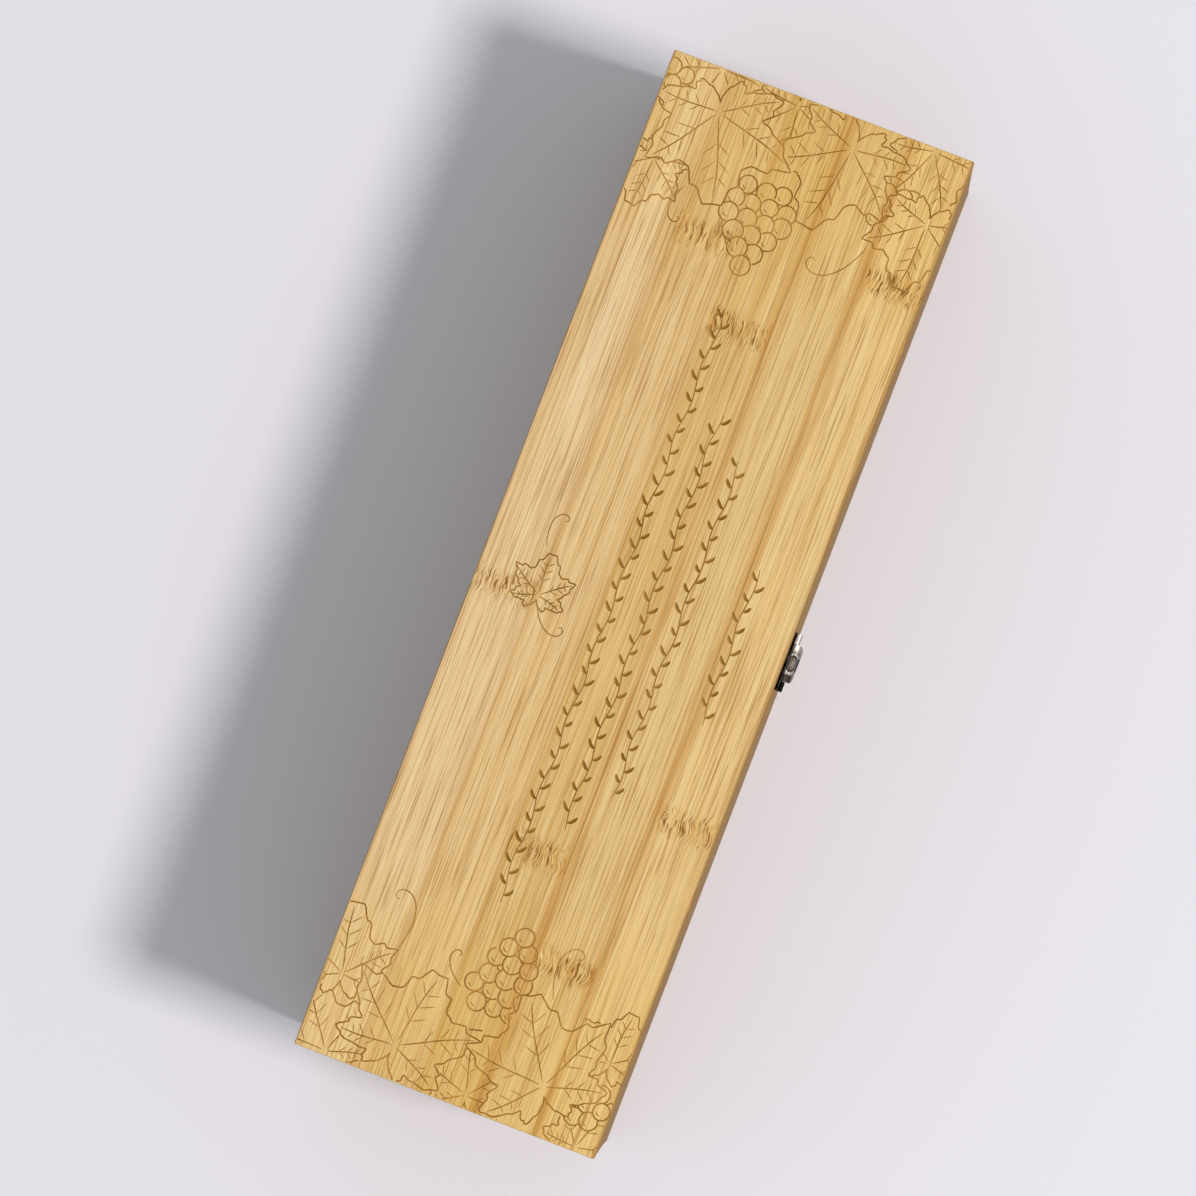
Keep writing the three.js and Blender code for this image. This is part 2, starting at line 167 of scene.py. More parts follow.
camera_data = bpy.data.cameras.new("camera")
camera_data.sensor_width = 36
camera_data.lens = 180.58
camera = new_object("camera", camera_data)
camera.matrix_world = Matrix.Translation(place) @ turn.to_4x4()
bpy.context.scene.camera = camera
print("camera height in mm:", round(1000 * place.z), "lens:", camera_data.lens)

# %% [markdown]
# ## Light and table
# The light is one large soft lamp, high on the box's front side, in a bright plain room: the shadow
# falls straight behind the box, about 75 mm wide with a soft edge. A disk lamp whose size is a
# fifth of its distance gives that softness. The room is an even white world, a little cool, and
# the lamp is a little warm. Together they light a level surface so that its colour renders about
# as it is written. The table is one pale plane.

# %% Light the box
scene.view_settings.view_transform = "Standard"

room = bpy.data.worlds.new("room")
room.use_nodes = True
background = room.node_tree.nodes["Background"]
background.inputs["Color"].default_value = linear("#F2FBFF")
background.inputs["Strength"].default_value = 0.53
scene.world = room

key_data = bpy.data.lights.new("soft_key", "AREA")
key_data.shape = "DISK"
key_data.size = 1.1
key_data.energy = 230
key_data.color = linear("#FFF9F8")[:3]
key = new_object("soft_key", key_data)
key.location = (0, -3.4, 4.5)
to_the_box = Vector((0, 0, 0)) - key.location
key.rotation_euler = to_the_box.to_track_quat("-Z", "Y").to_euler()
print("lamp's distance in metres:", round(to_the_box.length, 2))

# %% Lay the table
bm = bmesh.new()
bmesh.ops.create_grid(bm, x_segments=1, y_segments=1, size=4)
table = new_object("table", to_mesh(bm, "table"))
table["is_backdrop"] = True

table_paint, _, surface = new_material("matt_pale_table")
surface.inputs["Base Color"].default_value = linear("#E2DFE5")
surface.inputs["Roughness"].default_value = 0.9
surface.inputs["Specular IOR Level"].default_value = 0.1
table.data.materials.append(table_paint)
print("table:", [round(s, 1) for s in table.dimensions])

# %% [markdown]
# ## Laminated bamboo
# Bamboo board is glued up from flat strips about 20 mm wide, planed and sanded to a satin face.
# The eye sees four things in it: each strip has its own tone, fine fibres run along it, brownish
# bands lie where strips meet, and the nodes of the cane cross a strip as a cluster of short dark
# dashes and pale flecks. The ends of the fibres show as dots where a board is cut across.
#
# A picture texture could show this, but it would have to be unwrapped and would stretch over the
# edges. Noise that is pulled out along the fibres works in all three dimensions instead, so it
# turns into dots at the end grain by itself. Every size below is in millimetres. Small tables, one
# value for each strip, are colour ramps without blending between their stops.

# %% The layers of the grain
# Each layer: length and breadth of its streaks in mm, the noise values at which it starts and is
# full, how strong it then is, and its colour. Real fibres are about 0.3 mm wide; the finest layer
# is drawn 0.45 mm wide, because finer ones would not show in the render.
grain_layers = (
    (260, 5.5, 0.42, 0.68, 0.34, "#CFA35F"),
    (110, 1.2, 0.50, 0.66, 0.23, "#BC8B3C"),
    (150, 1.8, 0.50, 0.70, 0.23, "#EDD2A0"),
    (70, 0.48, 0.53, 0.62, 0.42, "#A87628"),
    (50, 0.48, 0.52, 0.66, 0.34, "#F2DAA6"),
    (30, 0.45, 0.55, 0.64, 0.56, "#9C681E"),
)
# At a node of the cane, the same: a brown wash, pale flecks and dark dashes.
node_layers = (
    (12, 3.0, 0.30, 0.60, 0.36, "#C48C30"),
    (6.0, 0.50, 0.57, 0.66, 0.70, "#F5D892"),
    (5.2, 0.46, 0.54, 0.60, 0.90, "#7E4800"),
)
# Round a glue line: how far out it starts and is full, in mm, how strong, and its colour.
line_layers = (
    (3.6, 0.6, 0.85, "#C28C40"),
    (0.6, 0.1, 0.55, "#8F5F28"),
)
# Each strip is cut from a place of the cane that lies this many mm further along.
cane_step = 731
# Round the middle of a node, in mm: where its band starts and is full, how far the band's edge is
# jagged, and how far the fibres swing to the side.
node_starts, node_full, node_jag, node_swing = 6.5, 2, 8, 5
# End grain shows where the surface looks along the fibres: from which share on, from which share
# on fully, how strong, and its colour.
end_starts, end_full, end_strength, end_grain = 0.55, 0.9, 0.35, "#AF8148"
# Smoke starts and is full at these distances from the middle in mm. Painted shade along the board's
# front edge starts and is full at these places across it, and this is its colour.
smoke_starts, smoke_full, smoke = 90, 150, "#FFFBE0"
front_shade_start, front_shade_full, front_shade = -52.0, -53.3, "#B4966A"
print("layers of grain, at nodes, at glue lines:",
      len(grain_layers), len(node_layers), len(line_layers))


# %% Make the bamboo
def bamboo(name, axes, start, width, tones, marks, joints, strips_from, strips_long,
           smoked=0.0, front_edge_shade=0.0, polish=0.25, shade_tint=None):
    """axes: the fibres' axis, the axis across the strips, and the board's thickness. start and
    width place the strips. tones: a colour for each strip. marks: the places of two nodes of the
    cane in each strip, as shares of its length. joints: how dark each glue line is, from the first
    strip's outer edge on. strips_from, strips_long: where the uncut strips began and their length.
    smoked: how far the smoke of the laser has tinted the wood towards both ends. front_edge_shade:
    how strongly painted shade darkens the long front edge. polish: the strength of the mirror
    light. shade_tint: the colour that the wood is multiplied by, painted shade on the boards that
    stand in shade."""
    material, tree, surface = new_material(name)
    count = len(tones)

    # Places in millimetres: along the fibres, across the strips and into the board.
    here = add(tree, "TexCoord", out="Object")
    sides = add(tree, "VectorMath", {0: here, 3: 1000}, operation="SCALE")
    sides = add(tree, "SeparateXYZ", {0: sides}).node.outputs
    along, across, deep = (sides["XYZ".index(axis)] for axis in axes)

    # Which strip a point is in, and how far it is from the nearest glue line, in strip widths.
    strips_in = add(tree, "MapRange", {0: across, 1: start, 2: start + width}, clamp=False)
    strip = add(tree, "Math", {0: strips_in}, operation="FLOOR")
    to_line = add(tree, "Math", {0: strips_in, 1: 0.5}, operation="PINGPONG")

    # The tables: the strips' tones, the places of their nodes and the darkness of the glue lines.
    strip_key = add(tree, "Math", {0: strip, 1: 1 / count, 2: 0.5 / count},
                    operation="MULTIPLY_ADD")
    line_key = add(tree, "Math", {0: strips_in, 1: 1 / (count + 1), 2: 0.5 / (count + 1)},
                   operation="MULTIPLY_ADD")
    tables = []
    for key, row in (
        (strip_key, [linear(tone) for tone in tones]),
        (strip_key, [(*pair, 0, 1) for pair in marks]),
        (line_key, [(joint, joint, joint, 1) for joint in joints]),
    ):
        tables.append(add(tree, "ValToRGB", {0: key}))
        ramp = tables[-1].node.color_ramp
        ramp.interpolation = "CONSTANT"
        for i, value in enumerate(row):
            stop = ramp.elements[i] if i < 2 else ramp.elements.new(i / len(row))
            stop.position = i / len(row)
            stop.color = value
    colour, mark_places, joint = tables

    # The grain's own frame: every strip is cut from another place of the cane.
    moved = add(tree, "Math", {0: strip, 1: cane_step, 2: along}, operation="MULTIPLY_ADD")
    grain = add(tree, "CombineXYZ", {0: moved, 1: across, 2: deep})

    def streaks(frame_of, length, breadth, seed):
        scale = (1 / length, 1 / breadth, 1 / breadth)
        drawn_out = add(tree, "VectorMath", {0: frame_of, 1: scale, 2: (seed, seed, 0)},
                        operation="MULTIPLY_ADD")
        return add(tree, "TexNoise",
                   {"Vector": drawn_out, "Scale": 1, "Detail": 2, "Roughness": 0.55})

    # The nodes of the cane: a band across the strip, about 9 mm wide, with a jagged edge. In it the
    # fibres swing to the side.
    jagged = add(tree, "Math", {0: streaks(grain, 4, 1.6, 5), 1: node_jag, 2: along},
                 operation="MULTIPLY_ADD")
    first = strips_from + node_jag / 2
    share = add(tree, "MapRange", {0: jagged, 1: first, 2: first + strips_long}, clamp=False)
    places = add(tree, "SeparateColor", {0: mark_places})
    gaps = []
    for place in places.node.outputs[:2]:
        gap = add(tree, "Math", {0: share, 1: place}, operation="SUBTRACT")
        gaps.append(add(tree, "Math", {0: gap}, operation="ABSOLUTE"))
    gap = add(tree, "Math", {0: gaps[0], 1: gaps[1]}, operation="MINIMUM")
    band = add(tree, "MapRange", {0: gap, 1: node_starts / strips_long, 2: node_full / strips_long},
               interpolation_type="SMOOTHSTEP")
    swing = add(tree, "Math", {0: streaks(grain, 9, 8, 9), 1: 0.5}, operation="SUBTRACT")
    swing = add(tree, "Math", {0: swing, 1: band}, operation="MULTIPLY")
    wavy = add(tree, "VectorMath", {0: swing, 1: (0, node_swing, 0), 2: grain},
               operation="MULTIPLY_ADD")

    # The layers: grain and nodes, and then the glue lines, which are darker and paler by turns.
    # Each has a weight, a colour and the way it goes over what is below.
    layers, noises = [], []
    for i, layer in enumerate(grain_layers + node_layers):
        length, breadth, starts, full, strength, shade = layer
        noises.append(streaks(wavy, length, breadth, 40 * i))
        weight = add(tree, "MapRange", {0: noises[-1], 1: starts, 2: full, 4: strength},
                     interpolation_type="SMOOTHSTEP")
        if i >= len(grain_layers):
            weight = add(tree, "Math", {0: weight, 1: band}, operation="MULTIPLY")
        layers.append((weight, shade, "MIX"))
    uneven = add(tree, "MapRange", {0: streaks(wavy, 55, 0.9, 400), 1: 0.38, 2: 0.56, 3: 0.2})
    for reach, core, strength, shade in line_layers:
        weight = add(tree, "MapRange", {0: to_line, 1: reach / width, 2: core / width, 4: strength},
                     interpolation_type="SMOOTHSTEP")
        weight = add(tree, "Math", {0: weight, 1: uneven}, operation="MULTIPLY")
        weight = add(tree, "Math", {0: weight, 1: joint}, operation="MULTIPLY")
        layers.append((weight, shade, "MIX"))

    # End grain, then the tint of smoke, and then painted shade: along the lid's front edge and over
    # the boards that stand in shade.
    facing = add(tree, "SeparateXYZ", {0: here.node.outputs["Normal"]}).node.outputs
    facing = add(tree, "Math", {0: facing["XYZ".index(axes[0])]}, operation="ABSOLUTE")
    weight = add(tree, "MapRange", {0: facing, 1: end_starts, 2: end_full, 4: end_strength},
                 interpolation_type="SMOOTHSTEP")
    layers.append((weight, end_grain, "MIX"))
    if smoked:
        from_middle = add(tree, "Math", {0: along}, operation="ABSOLUTE")
        weight = add(tree, "MapRange", {0: from_middle, 1: smoke_starts, 2: smoke_full, 4: smoked},
                     interpolation_type="SMOOTHSTEP")
        layers.append((weight, smoke, "MULTIPLY"))
    # Painted shade darkens the long front edge.
    if front_edge_shade:
        weight = add(tree, "MapRange", {0: across, 1: front_shade_start, 2: front_shade_full, 4: front_edge_shade},
                     interpolation_type="SMOOTHSTEP")
        layers.append((weight, front_shade, "MULTIPLY"))
    # Painted shade: the boards that stand in shade are multiplied by a darker colour.
    if shade_tint:
        layers.append((1, shade_tint, "MULTIPLY"))
    for weight, shade, blend in layers:
        colour = add(tree, "Mix", {0: weight, 6: colour, 7: linear(shade)}, out=2,
                     data_type="RGBA", blend_type=blend)

    tree.links.new(colour, surface.inputs["Base Color"])
    gloss = add(tree, "MapRange", {0: noises[1], 3: 0.44, 4: 0.62})
    tree.links.new(gloss, surface.inputs["Roughness"])
    surface.inputs["IOR"].default_value = 1.45
    surface.inputs["Specular IOR Level"].default_value = polish
    bump = add(tree, "Bump", {"Height": noises[3], "Distance": mm(0.04), "Strength": 0.3})
    tree.links.new(bump, surface.inputs["Normal"])
    print(name, "has", len(tree.nodes), "shader nodes")
    return material


# %% [markdown]
# ## The boards' bamboo
# The lid's panel is five strips wide, and the strips' nodes lie where the photograph shows them.
# The walls and the end boards are cut from boards of four strips, one above the other, and the saw
# cut between base and lid runs through them, so the same pattern carries on from base to lid. The
# lid's front edge is darker than the rest, which is painted shade. The walls, the ends and the
# lid's inside are painted a little darker and browner than the lid's face, which is painted shade
# too, and are nearly matt, while the lid's face has a sheen.

# %% Set the boards' bamboo
box_length, box_depth = (high.x - low.x) * 1000, 107
strip_width = box_depth / 5


def shares(places, length):
    """Node places in mm from the strips' start, as shares. A strip with one node has it twice."""
    return [(pair[0] / length, pair[-1] / length) for pair in places]


# Where the walls' lowest strip starts, just above the bottom panel, and the strips' width, in mm.
wall_foot, wall_strip = 6.1, 21.95
wall_marks = shares([(122, 318), (49, 243), (171,), (92, 289)], box_length)
wall_joints = [0.2, 0.6, 0.8, 0.6, 0.2]
# The boards that stand in shade are nearly matt and are multiplied by this colour, which is painted
# shade.
shaded_finish = {"polish": 0.06, "shade_tint": "#E7DAB4"}

lid_strips = (
    "XYZ", -box_depth / 2, strip_width,
    ["#E2BF80", "#DDBB7D", "#D8B370", "#DFBC82", "#E4C493"],
    shares([(113.9, 306.4), (55.8,), (88.4, 275), (300.6,), (167.3,)], box_length),
    [0.2, 0.8, 0.95, 0.32, 0.35, 0.2], -box_length / 2, box_length,
)
lid_bamboo = bamboo("polished_bamboo_lid", *lid_strips, smoked=0.8, front_edge_shade=0.7)
inside_bamboo = bamboo("shaded_bamboo_lid_inside", *lid_strips, **shaded_finish)
bottom_bamboo = bamboo(
    "planed_bamboo_bottom", "XYZ", -box_depth / 2, strip_width,
    ["#DDBB82", "#DDB97E", "#DFBD85", "#D8B579", "#DEBB80"],
    shares([(61, 262), (147,), (30, 231), (188,), (96, 309)], box_length),
    [0.2, 0.5, 0.8, 0.5, 0.7, 0.2], -box_length / 2, box_length,
)
# The walls' and the ends' tones are darker and browner than the lid's: painted shade.
wall_bamboo = bamboo(
    "shaded_bamboo_walls", "XZY", wall_foot, wall_strip,
    ["#BE9B60", "#C29F65", "#BB975C", "#C09D62"],
    wall_marks, wall_joints, -box_length / 2, box_length, **shaded_finish,
)
end_bamboo = bamboo(
    "shaded_bamboo_ends", "YZX", wall_foot, wall_strip,
    ["#C19E64", "#BD995F", "#C4A167", "#BF9C61"],
    shares([(28,), (190,), (71,), (205,)], 2 * box_depth),
    [0.2, 0.7, 0.6, 0.7, 0.2], -box_depth / 2, 2 * box_depth, **shaded_finish,
)
# The lid panel's faces that look to the front are much darker wood: painted shade.
shaded_edge_bamboo = bamboo(
    "shaded_bamboo_edge", "XZY", wall_foot, wall_strip,
    ["#987642", "#9C7A46", "#95733F", "#9A7844"],
    wall_marks, wall_joints, -box_length / 2, box_length, **shaded_finish,
)
rest_bamboo = bamboo(
    "sawn_bamboo_rests", "YZX", wall_foot, wall_strip,
    ["#D2B07A", "#D6B47F"],
    shares([(190,), (33,)], 2 * box_depth),
    [0.3, 0.8, 0.3], -box_depth / 2, 2 * box_depth, polish=0.1,
)

# %% [markdown]
# ## Which body a piece moves with
# The record says which pieces belong to the base, the lid and the latch. A dressed piece takes the
# place of its solid and moves with the same body. A solid comes as loose triangles, so a copy is
# first merged and its flat faces are put together again. Then the long sharp edges that a hand
# would touch get a narrow bevel, because no real board or plate has a perfectly sharp edge, and the
# curved faces are shaded smooth.

# %% Dress a solid
body_of = {}
for body, members in frame["record"]["behaviour"]["bodies"].items():
    for member in members:
        body_of[member] = body


def place_piece(name, bm, materials, *nodes, smooth_below=30):
    """Turns a bmesh into a finished piece that stands for these nodes."""
    mesh = to_mesh(bm, name)
    for material in materials:
        mesh.materials.append(material)
    mesh.shade_smooth()
    mesh.set_sharp_from_angle(angle=math.radians(smooth_below))
    piece = new_object(name, mesh)
    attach(piece, body_of[nodes[0]])
    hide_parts(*nodes)
    return piece


def merged_copy(node):
    bm = bmesh.new()
    bm.from_mesh(frame["nodes"][node].data)
    bmesh.ops.remove_doubles(bm, verts=bm.verts, dist=mm(0.002))
    bmesh.ops.dissolve_limit(bm, angle_limit=math.radians(0.3), verts=bm.verts, edges=bm.edges)
    return bm


def eased(node, material, radius, shortest):
    """A merged copy whose convex sharp edges, from a shortest length up, are bevelled."""
    bm = merged_copy(node)
    sharp = [
        edge for edge in bm.edges
        if edge.is_manifold and edge.is_convex and edge.calc_face_angle() > math.radians(50)
        and edge.calc_length() > mm(shortest)
    ]
    bmesh.ops.bevel(bm, geom=sharp, offset=mm(radius), offset_type="OFFSET", segments=2,
                    profile=0.5, affect="EDGES", clamp_overlap=True, material=-1)
    piece = place_piece(node + "_dressed", bm, [material], node)
    print(node, "edges eased:", len(sharp), "faces:", len(piece.data.polygons))
    return piece


# %% [markdown]
# ## Walls, rails and end boards
# Front, back and end boards are joined with box fingers. The fingers are sanded flush, so their
# edges stay crisp and only a hair line shows between them. The long edges along the rims of base
# and lid are eased a little with sandpaper, which shows as the fine line all round between them.

# %% Ease the boards
rim_radius, rim_shortest = 0.35, 30
boards = [eased(node, wall_bamboo, rim_radius, rim_shortest)
          for node in ("base_front_wall", "base_back_wall", "lid_front_rail", "lid_back_rail")]
boards += [eased(node, end_bamboo, rim_radius, rim_shortest)
           for node in ("base_left_end", "base_right_end", "lid_left_rail", "lid_right_rail")]
boards += [eased(node, rest_bamboo, 0.4, 5) for node in ("body_rest", "neck_rest")]

# %% [markdown]
# ## Panels
# Top and bottom are glued over the full outline and their outer edges are sanded round. A cube is
# the simplest start: it is scaled to the board, its upright corners are bevelled first and then the
# whole outer edge, so the two roundings run into each other.

# %% Make the panels
corner_radius = 0.7
edge_radius = 0.6


def panel(node, side):
    """side is 1 where the top edge is rounded, and -1 for the bottom edge. The faces that look to
    the back get the second material, and those that look to the front the third."""
    lowest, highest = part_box(node)
    bm = bmesh.new()
    bmesh.ops.create_cube(bm, size=1)
    bmesh.ops.scale(bm, vec=highest - lowest, verts=bm.verts)
    bmesh.ops.translate(bm, vec=(lowest + highest) / 2, verts=bm.verts)
    upright = [e for e in bm.edges if abs(e.verts[0].co.z - e.verts[1].co.z) > mm(1)]
    bmesh.ops.bevel(bm, geom=upright, offset=mm(corner_radius), offset_type="OFFSET", segments=8,
                    profile=0.5, affect="EDGES", material=-1)
    outer_z = highest.z if side > 0 else lowest.z
    outer = [e for e in bm.edges if all(abs(v.co.z - outer_z) < mm(0.01) for v in e.verts)]
    bmesh.ops.bevel(bm, geom=outer, offset=mm(edge_radius), offset_type="OFFSET", segments=6,
                    profile=0.5, affect="EDGES", material=-1)
    for face in bm.faces:
        face.material_index = 2 if face.normal.y < -0.4 else int(face.normal.y > 0.4)
    print(node, "outline edges rounded:", len(outer))
    return bm


finishes = [bottom_bamboo, wall_bamboo, wall_bamboo]
bottom = panel("bottom_panel", -1)
boards.append(place_piece("bottom_panel_sanded", bottom, finishes, "bottom_panel"))

# %% [markdown]
# ## The walls in shade
# Much darker wood would give that look too, but it would be wrong under any other light. Light
# linking does most of it: the lamp passes the boards below the lid by, and only the room lights
# them. Their wood is also painted somewhat darker and browner than the lid's, which is painted
# shade.

# %% Link the lamp
in_shade = bpy.data.collections.new("boards_in_shade")
for board in boards:
    in_shade.objects.link(board)
key.light_linking.receiver_collection = in_shade
for member in in_shade.collection_objects:
    member.light_linking.link_state = "EXCLUDE"

# %% [markdown]
# ## Drawing the engraving
# A laser burns thin lines into the lid. The drawing is made here from a few motifs of the wine
# country: vine leaves, grapes, tendrils and canes at both ends, and rows of small twigs between
# them. Each motif is a set of strokes in millimetres on the lid. What lies in front hides what is
# behind it, as in a drawing by hand: each motif's outline is kept, and later strokes are broken
# where they pass under one.

# %% Strokes and what hides them
# Half the lid's length and depth, less the 0.3 mm along its edges that strokes leave free.
face_reach = (177.2, 53.2)
strokes = []
outlines = []


def hidden(points):
    """True for each point that is off the lid or under an outline drawn before."""
    x, y = points[:, 0], points[:, 1]
    under = (np.abs(x) > face_reach[0]) | (np.abs(y) > face_reach[1])
    for outline in outlines:
        if (x.max() < outline[:, 0].min() or x.min() > outline[:, 0].max()
                or y.max() < outline[:, 1].min() or y.min() > outline[:, 1].max()):
            continue
        x1, y1 = outline[:, 0], outline[:, 1]
        x2, y2 = np.roll(x1, -1), np.roll(y1, -1)
        rise = np.where(y2 == y1, 1e-9, y2 - y1)
        crosses = (y1[None] > y[:, None]) != (y2[None] > y[:, None])
        crossing_x = x1[None] + (y[:, None] - y1[None]) * (x2 - x1)[None] / rise[None]
        under |= (crosses & (x[:, None] < crossing_x)).sum(1) % 2 == 1
    return under


def stroke(points, width, taper=0.35):
    """Keeps the visible runs of a line, with a width at each point that thins towards the ends."""
    points = np.asarray(points, float)
    along = np.linspace(0, 1, len(points))
    widths = width * (taper + (1 - taper) * np.sin(np.pi * along) ** 0.4)
    run = []
    for point, size, covered in zip(points, widths, hidden(points)):
        if not covered:
            run.append((point[0], point[1], size))
        if covered:
            if len(run) > 2:
                strokes.append(run)
            run = []
    if len(run) > 2:
        strokes.append(run)


def bend(start, middle, end, count):
    """Points on a smooth arc that starts and ends at two points and leans towards a third."""
    t = np.linspace(0, 1, count)[:, None]
    start, middle, end = (np.asarray(p, float) for p in (start, middle, end))
    return (1 - t) ** 2 * start + 2 * t * (1 - t) * middle + t ** 2 * end


# %% [markdown]
# ## A vine leaf
# Its edge is drawn in polar form round the point where its stalk joins: the radius runs from lobe
# tip to dip to lobe tip, and a small saw tooth runs over it. Five ribs go to the lobes, each with
# short side veins.

# %% Draw a vine leaf
# Each tip and dip: its angle from the middle lobe and its radius, as a share of the leaf's size.
lobe_tips = ((0, 1.0), (0.95, 0.86), (1.85, 0.64), (2.55, 0.40))
lobe_dips = ((0.52, 0.60), (1.42, 0.46), (2.25, 0.33), (math.pi, 0.10))
teeth = 30


def vine_leaf(foot, heading, size, width, seed):
    luck = random.Random(seed)
    foot = np.asarray(foot, float)
    half = sorted(lobe_tips + lobe_dips)
    angles = np.array([-a for a, _ in half[:0:-1]] + [a for a, _ in half])
    radii = np.array([r for _, r in half[:0:-1]] + [r for _, r in half])
    radii[1:-1] *= np.array([luck.uniform(0.93, 1.06) for _ in radii[1:-1]])

    def at(angle, radius):
        turned = math.radians(heading) + angle
        return foot + size * radius * np.array([math.cos(turned), math.sin(turned)])

    def rim(angle):
        tooth = 1 - abs(2 * ((angle / math.tau * teeth) % 1) - 1)
        return np.interp(angle, angles, radii) * (0.95 + 0.10 * tooth)

    turns = np.linspace(-math.pi, math.pi, 150)
    edge = [at(a, rim(a)) for a in turns]
    stroke(edge, width, 0.9)
    for tip, _ in lobe_tips[:3]:
        for way in ((1, -1) if tip else (1,)):
            angle = way * tip + luck.uniform(-0.04, 0.04)
            reach = 0.93 * rim(angle)
            rib = [at(angle + 0.05 * math.sin(3 * t), reach * t) for t in np.linspace(0.05, 1, 14)]
            stroke(rib, 0.9 * width, 0.3)
            for share in (0.36, 0.56, 0.75):
                for side in (1, -1):
                    end_angle = angle + side * 0.34 * (1.25 - share)
                    end = at(end_angle, min(reach * (share + 0.17), 0.9 * rim(end_angle)))
                    start = at(angle + 0.05 * math.sin(3 * share), reach * share)
                    vein = bend(start + 0.06 * (end - start), (start + end) / 2, end, 6)
                    stroke(vein, 0.62 * width, 0.2)
    outlines.append(np.array(edge))


# %% [markdown]
# ## Grapes, tendrils, canes and twigs
# A bunch is rows of berries, drawn from its tip up, so each row hides part of the one behind it.
# A tendril is a line that curls more and more. A cane is two lines with slight swellings. A twig is
# a wavy stem with small leaves, each burnt as one swelling stroke.

# %% Draw the other motifs
def grapes(top, heading, rows, radius, width, seed):
    luck = random.Random(seed)
    ahead = np.array([math.cos(math.radians(heading)), math.sin(math.radians(heading))])
    side = np.array([-ahead[1], ahead[0]])
    for row in range(len(rows) - 1, -1, -1):
        for place in range(rows[row]):
            onward = 1 + 1.58 * row + luck.uniform(-0.14, 0.14)
            across = (place - (rows[row] - 1) / 2) * 1.86 + luck.uniform(-0.14, 0.14)
            centre = np.asarray(top) + radius * (onward * ahead + across * side)
            size = radius * luck.uniform(0.92, 1.06)
            ring = [centre + size * np.array([math.cos(a), math.sin(a)])
                    for a in np.linspace(0.4, 0.4 + math.tau, 26)]
            stroke(ring, width, 0.9)
            stroke([centre + 0.55 * size * np.array([math.cos(a), math.sin(a)])
                    for a in np.linspace(1.9, 3.1, 6)], 0.7 * width, 0.2)
            outlines.append(np.array(ring[:-1]))


def tendril(foot, heading, size, way, width):
    point, turned, points, steps = np.asarray(foot, float), math.radians(heading), [], 60
    for i in range(steps):
        points.append(point)
        point = point + size / 24 * np.array([math.cos(turned), math.sin(turned)]) * (1 - i / 75)
        turned += way * (0.02 + 0.26 * (i / steps) ** 2)
    stroke(points, 0.75 * width, 0.4)


def cane(start, middle, end, thickness, width):
    count = 46
    spine = bend(start, middle, end, count)
    ahead = np.gradient(spine, axis=0)
    ahead /= np.linalg.norm(ahead, axis=1)[:, None]
    side = np.column_stack([-ahead[:, 1], ahead[:, 0]])
    bulge = thickness / 2 * (1 + 0.22 * np.sin(np.linspace(0, 19, count)))[:, None]
    stroke(spine + bulge * side, width, 0.9)
    stroke(spine - bulge * side, width, 0.9)


def twig(start_x, end_x, y, size, width, seed):
    luck = random.Random(seed)
    x = np.linspace(start_x, end_x, int(abs(end_x - start_x) / 1.2))
    wave_height, wave_turns = 0.16 * size, 1.1
    wave = wave_height * np.sin(x / size * wave_turns)
    stroke(np.column_stack([x, y + wave]), 0.8 * width, 0.5)
    step = 0.85 * size
    for i in range(int(abs(end_x - start_x) / step)):
        here = start_x + (i + 0.7) * step
        foot = np.array([here, y + wave_height * math.sin(here / size * wave_turns)])
        way = 1 if i % 2 else -1
        reach = size * luck.uniform(0.8, 1.1)
        top = foot + reach * np.array([0.62, 0.62 * way])
        stroke(bend(foot, foot + reach * np.array([0.1, 0.42 * way]), top, 7), 2.1 * width, 0.2)


# %% [markdown]
# ## The drawing
# Both ends of the lid carry a spray of vine leaves and grapes that runs off the edges. The middle
# carries four rows of twigs and one small leaf. The burnt line is about half a millimetre wide.

# %% Draw the lid
line, twig_line = 0.54, 0.58
# Each spray: leaves in front, then grapes, then what lies behind them.
for foot, heading, size, seed in (
    ((-161, -29), 28, 34, 3), ((-166, 22), -12, 31, 5),
    ((-150, 47), 8, 24, 8), ((-173, -6), 12, 22, 9),
    ((163, 32), 196, 34, 13), ((167, -14), 168, 31, 17),
    ((152, -46), 176, 25, 19), ((174, 8), 185, 21, 23),
):
    vine_leaf(foot, heading, size, line, seed)
for top, heading, rows, radius, seed in (
    ((-146, -4), -3, (3, 4, 3, 3, 2, 1), 3.3, 31), ((-165, -38), -62, (2, 3, 2), 3.0, 32),
    ((147, 8), 181, (3, 4, 4, 3, 2, 1), 3.3, 33), ((168, 43), 100, (2, 3, 2), 3.0, 34),
    ((158, -26), 232, (2, 3, 2, 1), 3.0, 35),
):
    grapes(top, heading, rows, radius, line, seed)
for foot, heading, size, seed in (
    ((-176, 43), 32, 25, 41), ((-176, -46), -25, 20, 43), ((-146, -47), -6, 20, 44),
    ((176, -40), 205, 24, 47), ((177, 36), 160, 24, 48), ((141, 47), 172, 19, 49),
):
    vine_leaf(foot, heading, size, line, seed)
for foot, heading, size, way in (
    ((-137, 33), -20, 20, 1), ((-133, -22), 24, 18, -1), ((-140, 8), 60, 12, -1),
    ((138, -30), 160, 20, -1), ((134, 20), 196, 18, 1), ((136, 34), 150, 12, 1),
):
    tendril(foot, heading, size, way, line)
cane((-177, 50), (-160, 12), (-168, -53), 2.0, line)
cane((177, 50), (159, 0), (172, -53), 2.0, line)
end_strokes = len(strokes)
for start_x, end_x, y, size, seed in (
    (-109, 102, 6.8, 4.4, 5), (-79, 69, -4.9, 4.4, 6),
    (-64, 56, -16.2, 4.4, 7), (-30, 25, -35.1, 4.4, 9),
):
    twig(start_x, end_x, y, size, twig_line, seed)
vine_leaf((-9, 31), 0, 15, line, 61)
tendril((7, 34), 20, 12, -1, line)
tendril((-10, 31), 200, 14, 1, line)
print("strokes at the ends:", end_strokes, "in all:", len(strokes))

